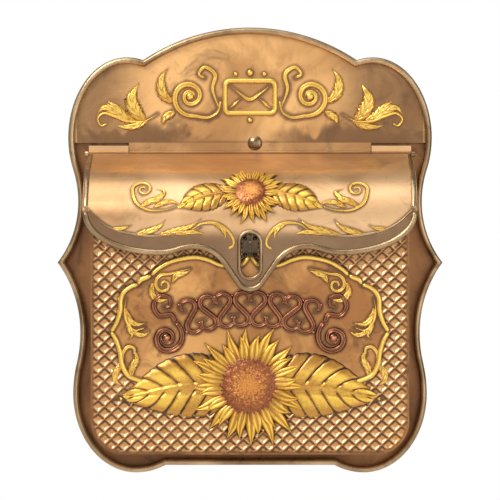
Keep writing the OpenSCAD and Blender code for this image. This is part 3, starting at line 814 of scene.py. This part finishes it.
garland = Relief(on_panel)
ARCH_R = 187.0
ARCH_TOP = -45.5
ARCH = (0.0, ARCH_TOP - ARCH_R)
SCROLL_PITCH = 13


def on_arch(x, rise=0.0):
    """A place on the arch, and how far it leans there."""
    lean = -math.asin(x / ARCH_R)
    return (ARCH[0] - (ARCH_R + rise) * math.sin(lean), ARCH[1] + (ARCH_R + rise) * math.cos(lean)), lean


for k in range(8):
    centre, lean = on_arch(SCROLL_PITCH * (k - 3.5))
    scroll_pair(garland, lambda path: path, centre, lean, 1 if k % 2 else -1, 1.14, 5.0, 2.8)
for k in range(9):
    for rise, r in ((-11, 1.5), (11, 1.3)):
        spot, _ = on_arch(SCROLL_PITCH * (k - 4), rise)
        garland.dome(*spot, r, 1.5, rings=5, around=12)


def garland_end(relief, side):
    relief.stroke(side(list(reversed(spiral((-64.5, -68), 14, 3, 60, -1.7, 60)))), 5.2, 3.0, tip=0.6, tail=0.8,
                  groove=0.42)
    relief.stroke(side(spline([(-57.6, -56), (-61, -50), (-70, -50.5), (-74.5, -43), (-70, -35.5), (-62.5, -37),
                               (-62, -43), (-66.5, -44)])), 4.6, 2.8, tip=0.9, tail=0.6, groove=0.42)
    relief.dome(*side([(-64.5, -68)])[0], 3.8, 2.4)


both_sides(garland, garland_end)
garland.finish("panel_garland", "box", "raised_copper", COPPER)

FLOWER = (-1.0, -105.0)
leaves = Relief(on_panel)


def leaf_side(relief, side):
    relief.leaf(side(spline([(-10, -105), (-56, -106), (-107, -116.5)])), 53, 3.4, veins=8, teeth=0.025,
                along=128, across=48, root=0.64)


both_sides(leaves, leaf_side)
leaves.finish("panel_leaves", "box", "petal_gold", PETAL)
petals = Relief(on_panel)
sunflower(petals, FLOWER, 22.5, 49.5, 16, 9.4, 2.8, foot=1.2)
petals.finish("panel_petals", "box", "petal_gold", PETAL)
seeds = Relief(on_panel)
seeds.dome(*FLOWER, 23.6, 4.4, rings=64, around=320, bumps=0.36, foot=1.4)
seeds.finish("panel_seed_head", "box", "seed_copper", SEED)

# Lid: a smaller sunflower between leaves and scrolls, a ridge that follows the hem, and the slot's bead.
lid_leaves = Relief(on_lid_run)
lid_scrolls = Relief(on_lid_run)
LID_FLOWER = (0.8, 27.0)


def lid_leaf_side(relief, side):
    relief.leaf(side(spline([(-16, 27), (-36, 23), (-58, 13)])), 27, 2.2, veins=6, teeth=0.09,
                along=60, across=32)


def lid_scroll_side(relief, side):
    relief.stroke(side(list(reversed(spiral((-82.3, 29.5), 8.6, 1.8, 180, -1.45, 44)))
                       + spline([(-90.6, 26), (-87.5, 17.5), (-78, 12), (-66, 12), (-56, 15)])[1:]), 3.2, 1.7,
                  tip=0.5, tail=0.2, groove=0.35)
    acanthus(relief, side, [(-84, 14.5), (-77, 19), (-71, 21), (-66, 27), (-72, 30)], 6, 1.6, 4)
    acanthus(relief, side, [(-74, 14), (-66, 18), (-60, 18.5), (-53, 16)], 5, 1.5, 3)


both_sides(lid_leaves, lid_leaf_side)
lid_leaves.finish("lid_leaves", "lid", "petal_gold", PETAL)
both_sides(lid_scrolls, lid_scroll_side)
lid_scrolls.finish("lid_scrolls", "lid", "raised_gold", GOLD)
lid_petals = Relief(on_lid_run)
sunflower(lid_petals, LID_FLOWER, 12.5, 27.0, 17, 5.4, 1.7, foot=0.8)
lid_petals.finish("lid_petals", "lid", "petal_gold", PETAL)
lid_seeds = Relief(on_lid_run)
lid_seeds.dome(*LID_FLOWER, 13.4, 3.0, rings=34, around=170, bumps=0.16, foot=0.9)
lid_seeds.finish("lid_seed_head", "lid", "seed_copper", SEED)

ridge = Relief(on_lid)
hooks = Relief(on_lid)
RIDGE = [(-125.5, 31.5), (-116, 22.5), (-104.7, 15.8), (-90, 12.2), (-76, 10.8), (-62, 11.2), (-48, 13.6),
         (-38, 17.5)]


def ridge_side(relief, side):
    relief.stroke(side(spline(RIDGE)), 2.4, 1.1, tip=0.6, tail=0.5)


def hook_side(relief, side):
    relief.stroke(side(spline([(-46, 14), (-38, 20), (-27, 20.6), (-18.5, 16), (-13.2, 9), (-13, 3.4),
                               (-17, 0.8)])), 3.0, 1.6, tip=0.2, tail=0.7, groove=0.3)
    relief.leaf(side(spline([(-106, 16.3), (-98, 16.6), (-91.5, 19)])), 3.4, 1.4, veins=0)
    acanthus(relief, side, [(-88, 12), (-77, 14.6), (-69, 18.5), (-65, 23.5)], 5.6, 1.7, 3)
    acanthus(relief, side, [(-70, 11.4), (-58, 14.5), (-46, 18), (-37.5, 24)], 5.4, 1.7, 4)
    acanthus(relief, side, [(-58, 12.2), (-48, 13.6), (-40, 13.4), (-33, 11.5)], 4.4, 1.5, 3)
    acanthus(relief, side, [(-28, 20.5), (-22, 17), (-19, 12), (-20, 7)], 4.0, 1.5, 3)


both_sides(ridge, ridge_side)
ridge.finish("lid_ridge", "lid", "satin_sheet", HEM)
both_sides(hooks, hook_side)
hooks.finish("lid_hooks", "lid", "raised_gold", GOLD)


SLOT_LINE = SLOT_HALF + 1.4                      # half width of the middle line of the slot's bead
slot_edge = (arc((0, SLOT_Z + SLOT_REACH), SLOT_LINE, 180, 0, 16)
             + arc((0, SLOT_Z - SLOT_REACH), SLOT_LINE, 0, -180, 16))
slot_bead = Relief(on_lid)
tube(slot_bead, slot_edge, 1.6, 0.2, True, 14)
slot_bead.trail += [(x, z, 1.5) for x, z in slot_edge]
slot_bead.finish("slot_bead", "lid", "brass_trim", HEM)

CRIMP_W = 4.8
CRIMP_FOOT, CRIMP_TOP = 13, int(BEND_LENGTH + TOP_LENGTH) - 6
crimps = Relief(on_lid_run)
for way in (-1, 1):
    crimps.stroke([(way * (LID_HALF - CRIMP_W / 2), run) for run in range(CRIMP_FOOT, CRIMP_TOP, 3)],
                  CRIMP_W, 0.9, tip=0.9, tail=0.9)
crimps.finish("lid_side_crimps", "lid", "satin_sheet", HEM)


# ---------------------------------------------------------------- sheets that carry the ornament
def cut_heights(path, x):
    """Heights at which a closed outline is crossed at x."""
    return sorted(z0 + (z1 - z0) * (x - x0) / (x1 - x0)
                  for (x0, z0), (x1, z1) in zip(path, path[1:] + path[:1]) if (x0 > x) != (x1 > x))


TONGUE_DROP = 11.6                               # from the foot of the header's face to its tongue's edge
HEADER_HALF = 138.5
header_low = low("header_panel", 2) + TONGUE_DROP
rim_inner = inset(outline, 3.6)
header_skin = Relief(on_header)


def header_shape(u, a):
    x = lerp(-HEADER_HALF, HEADER_HALF, u)
    return x, lerp(header_low, cut_heights(rim_inner, x + 1e-4)[-1], a), SKIN_LIFT, 0


header_skin.skin(180, 60, header_shape)
face = header_skin.finish("header_face", "box", "bronzed_sheet", GROUND)
header_near = near_trails(emblem.trail + sprays.trail, 2.2)


def header_darkening(co):
    """Darkening: painted shade and antiquing round the raised work, a stain in a wavy band along the foot, a
    dark edge at the foot, and more towards the sides.
    """
    x, up = co.x / MM, co.z / MM - header_low
    edge = 15 + 6 * math.sin(x * 0.075 + 1.2) + 4.5 * math.sin(x * 0.21 + 0.4) + 2.5 * math.sin(x * 0.57)
    side = lerp(0.45, 1, step(abs(x + 10), 15, 80))
    stain = side * (0.62 * (1 - step(up, edge * 0.45, edge * 1.35)) + 0.35 * (1 - step(up, 5, 40)))
    return max(NEAR_SHADE_AND_ANTIQUING * header_near(x, co.z / MM), stain, 0.8 * (1 - step(up, 0, 4)),
               0.78 * step(abs(x + 8), 30, 112))


add_shade_and_antiquing(face, header_darkening)

lid_skin = Relief(on_lid_run)
hem_low = inset(hem_path, HEM_R, False)
hem_low = ([(LID_HALF + 1, HEM_SIDE_Z), (LID_HALF, HEM_SIDE_Z)] + hem_low
           + [(-LID_HALF, HEM_SIDE_Z), (-LID_HALF - 1, HEM_SIDE_Z)])
HINGE_CLEAR = 4.2
lid_top_run = BEND_LENGTH + TOP_LENGTH - HINGE_CLEAR


def lid_foot(x):
    """Height of the hem's lower edge at x."""
    for (x0, z0), (x1, z1) in zip(hem_low, hem_low[1:]):
        if x1 <= x <= x0 and x0 - x1 > 1e-9:
            return z0 + (z1 - z0) * (x - x0) / (x1 - x0)
    return HEM_SIDE_Z


def lid_shape(u, a):
    x = lerp(-LID_HALF, LID_HALF, u)
    return x, lerp(lid_run(lid_foot(x)), lid_top_run, a), SKIN_LIFT, 0


def outside_slot(x, run):
    z = BEND_Z + run
    return math.hypot(x, max(0, abs(z - SLOT_Z) - SLOT_REACH)) > SLOT_HALF + 0.9


lid_skin.skin(220, 110, lid_shape, outside_slot)
face = lid_skin.finish("lid_face", "lid", "satin_sheet", SATIN)
lid_near_run = near_trails(lid_leaves.trail + lid_scrolls.trail + lid_petals.trail, 1.6)
lid_near = near_trails(ridge.trail + hooks.trail + slot_bead.trail, 1.6)
ridge_line = spline(RIDGE)


RIDGE_DARK_TOP = 34                                    # the darker band under the ridge reaches no higher


def lid_darkening(co):
    """Darkening: painted shade and antiquing round the raised work, a band under the ridge, painted shadow
    along the hinge, and more down the sides.
    """
    x, z = co.x / MM, co.z / MM
    past = (BEND_OUT + BEND_R * math.cos(TOP_TILT) + co.y / MM) / math.sin(TOP_TILT)
    run = BEND_LENGTH + past if past > 0 and z > BEND_Z else lid_run(min(z, BEND_Z + BEND_R))
    under = 0.0
    if z < RIDGE_DARK_TOP:
        foot = min(ridge_line, key=lambda p: abs(p[0] + abs(x)))
        soft = 1 - step(abs(x), 30, 60)
        under = 0.9 * (1 - step(z - lerp(foot[1], 17, soft), -2 - 9 * soft, 0.5 + 8 * soft))
    # painted shadow along the hinge, where the lid's top meets the tongue
    top = 1.2 * step(run, lid_top_run - 7, lid_top_run - 3)
    return max(NEAR_SHADE_AND_ANTIQUING * lid_near_run(x, run), NEAR_SHADE_AND_ANTIQUING * lid_near(x, z), under, top,
               0.5 * step(abs(x), LID_HALF - 9, LID_HALF - 3))


add_shade_and_antiquing(face, lid_darkening)

FIELD_HALF, FIELD_LOW = 108, -130
field_edge = [(x, z) for part in BORDER for x, z in spline(part)]
field_edge += [(-60, -112), (-20, -112), (0, -125)]
field_edge += [(-x, z) for x, z in reversed(field_edge[:-1])]
field_skin = Relief(on_panel)
field_skin.skin(150, 90, lambda u, a: (lerp(-FIELD_HALF, FIELD_HALF, u), lerp(FIELD_LOW, 0, a), SKIN_LIFT, 0))
face = field_skin.finish("panel_field", "box", "bronzed_sheet", FIELD)
panel_trail = border.trail + fronds.trail + garland.trail + leaves.trail + petals.trail
field_near = near_trails(panel_trail, 1.8)
add_shade_and_antiquing(face, lambda co: NEAR_SHADE_AND_ANTIQUING * field_near(co.x / MM, co.z / MM))

# Quilting: raised lines on a slanted grid, with a pad sunk between them. Each pad's two lower walls get
# a painted highlight near its lowest corner, where the light catches them; its upper walls get painted shade.
PITCH_X, PITCH_Z = 10.2, 10.0
CELL_LINES = (0, 0.06, 0.12, 0.20, 0.40, 0.60, 0.80, 0.88, 0.94)
QUILT_SPAN = 44
QUILT_LINES = QUILT_SPAN * len(CELL_LINES)
QUILT_START = (28, 16)                           # cells from the corner of the grid to the origin
QUILT_TOP = 33
SEAM_W = 1.2
SEAM_STEP = 0.95
quilt = Relief(on_panel)


def box_depth(x, z):
    """How far a place lies inside the box's outline."""
    cx, cz = BAND_HALF - BAND_CORNER, BAND_LOW + BAND_CORNER
    if abs(x) > cx and z < cz:
        return BAND_CORNER - math.hypot(abs(x) - cx, z - cz)
    return min(BAND_HALF - abs(x), z - BAND_LOW)


def on_line(share):
    """The grid's even spacing drawn together towards the raised lines."""
    i = round(share * QUILT_LINES)
    return i // len(CELL_LINES) + CELL_LINES[i % len(CELL_LINES)]


def quilt_shape(u, a):
    p, q = on_line(u) - QUILT_START[0], on_line(a) - QUILT_START[1]
    x, z = (p + q) / 2 * PITCH_X, (p - q) / 2 * PITCH_Z
    right, left = p % 1, q % 1
    low_wall = min(right, 1 - left)
    high_wall = min(1 - right, left)
    wall = min(low_wall, high_wall)
    line = 1 - step(wall, 0.05, 0.20)
    pad = step(wall, 0.22, 0.5)
    inner = step(box_depth(x, z), SEAM_W + 0.6, SEAM_W + 3.2)
    lip = SEAM_STEP * (1 - step(box_depth(x, z), 2.4, 3.6))
    # painted highlight on the two lower walls, near the pad's lowest corner
    highlight_and_wear = (step(low_wall, 0.02, 0.06) * (1 - step(low_wall, 0.13, 0.27))
              * (1 - step(max(right, 1 - left), 0.40, 0.80)))
    # painted shade on the two upper walls
    shade = step(high_wall, 0.02, 0.1) * (1 - step(high_wall, 0.16, 0.34))
    tone = 0.47 - 0.05 * pad + 0.53 * highlight_and_wear - 0.38 * shade * (1 - highlight_and_wear)
    return x, z, 0.15 + lip + (0.85 * line + 0.25 * pad) * inner, lerp(0.2, tone, inner)


def in_quilt(x, z):
    return box_depth(x, z) > SEAM_W and z < QUILT_TOP and not (abs(x) < FIELD_HALF and inside(field_edge, x, z))


quilt.skin(QUILT_LINES, QUILT_LINES, quilt_shape, in_quilt)
face = quilt.finish("quilted_ground", "box", "bronzed_sheet", QUILT)
quilt_near = near_trails(border.trail + leaves.trail + petals.trail, 1.5)
add_shade_and_antiquing(face, lambda co: NEAR_SHADE_AND_ANTIQUING * quilt_near(co.x / MM, co.z / MM))

# ---------------------------------------------------------------- finishes of the sheet metal itself
FINISHES = {
    SHELL: ("back_plate", "side_band"),
    FIELD: ("front_panel",),
    TONGUE: ("header_panel",),
    SATIN: ("lid_shell", "lid_cheek_left", "lid_cheek_right"),
    BRASS: ("hinge_rod",),
    RIM: ("dome_rivet", "rod_caps"),
    HASP: ("hasp_eye", "hasp_rivets"),
    STEEL: ("header_spacer", "band_rivets", "rim_wire", "front_top_wire", "lid_wire"),
}
for material, names in FINISHES.items():
    for name in names:
        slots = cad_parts[name].data.materials
        if not len(slots):
            slots.append(material)
        for i in range(len(slots)):
            slots[i] = material

# ---------------------------------------------------------------- floor, light and camera
FLOOR_Z = -0.9                                   # metres, as are all sizes from here on
floor_mesh = bpy.data.meshes.new("floor")
ground = bmesh.new()
bmesh.ops.create_grid(ground, x_segments=1, y_segments=1, size=6)
bmesh.ops.translate(ground, verts=ground.verts, vec=(0, 0, FLOOR_Z))
ground.to_mesh(floor_mesh)
ground.free()
floor = bpy.data.objects.new("floor", floor_mesh)
bpy.context.scene.collection.objects.link(floor)
pale = Finish("pale_floor", 0.0)
pale.done(pale.mix(pale.noise(3), (0.80, 0.79, 0.78), (0.86, 0.85, 0.84)), pale.noise(5) * 0.1 + 0.6)
pale.shader.inputs["Emission Color"].default_value = (0.9, 0.89, 0.88, 1)
pale.shader.inputs["Emission Strength"].default_value = 0.35
floor_mesh.materials.append(pale.material)

# The world is white behind the object and dim where it only lights it.
world = bpy.data.worlds.new("studio")
bpy.context.scene.world = world
bpy.context.scene.view_settings.view_transform = "Standard"
world.use_nodes = True
nodes, links = world.node_tree.nodes, world.node_tree.links
background = nodes["Background"]
seen = nodes.new("ShaderNodeLightPath")
share = nodes.new("ShaderNodeMix")
share.data_type = "RGBA"
share.inputs[6].default_value = (0.26, 0.25, 0.24, 1)
share.inputs[7].default_value = (1, 1, 1, 1)
links.new(seen.outputs["Is Camera Ray"], share.inputs[0])
links.new(share.outputs[2], background.inputs["Color"])
background.inputs["Strength"].default_value = 1.0


def panel_light(name, place, aim, size, power, color=(1, 1, 1)):
    lamp = bpy.data.lights.new(name, "AREA")
    lamp.shape = "RECTANGLE"
    lamp.size, lamp.size_y = size
    lamp.energy = power
    lamp.color = color
    holder = bpy.data.objects.new(name, lamp)
    holder.location = place
    holder.rotation_euler = (Vector(aim) - Vector(place)).to_track_quat("-Z", "Y").to_euler()
    bpy.context.scene.collection.objects.link(holder)


panel_light("key", (-0.9, -1.5, 1.3), (0, 0, 0), (1.0, 0.8), 27, (1, 0.97, 0.93))
panel_light("fill", (1.3, -1.4, 0.3), (0, 0, 0), (0.8, 1.4), 7)
panel_light("top", (-0.35, -0.5, 1.7), (0, -0.05, 0), (1.8, 1.0), 11.5)
panel_light("front", (0.2, -2.6, 0.1), (0, 0, 0), (2.2, 1.0), 7)

VIEW_FROM = 2.05
WALL_SEEN = 0.4027                               # width of the wall that the camera takes in
SENSOR = 36
camera = bpy.data.cameras.new("camera")
camera.sensor_width = SENSOR
camera.lens = SENSOR * VIEW_FROM / WALL_SEEN
holder = bpy.data.objects.new("camera", camera)
holder.location = (0, -VIEW_FROM, 0)
holder.rotation_euler = (math.pi / 2, 0, 0)
bpy.context.scene.collection.objects.link(holder)
bpy.context.scene.camera = holder
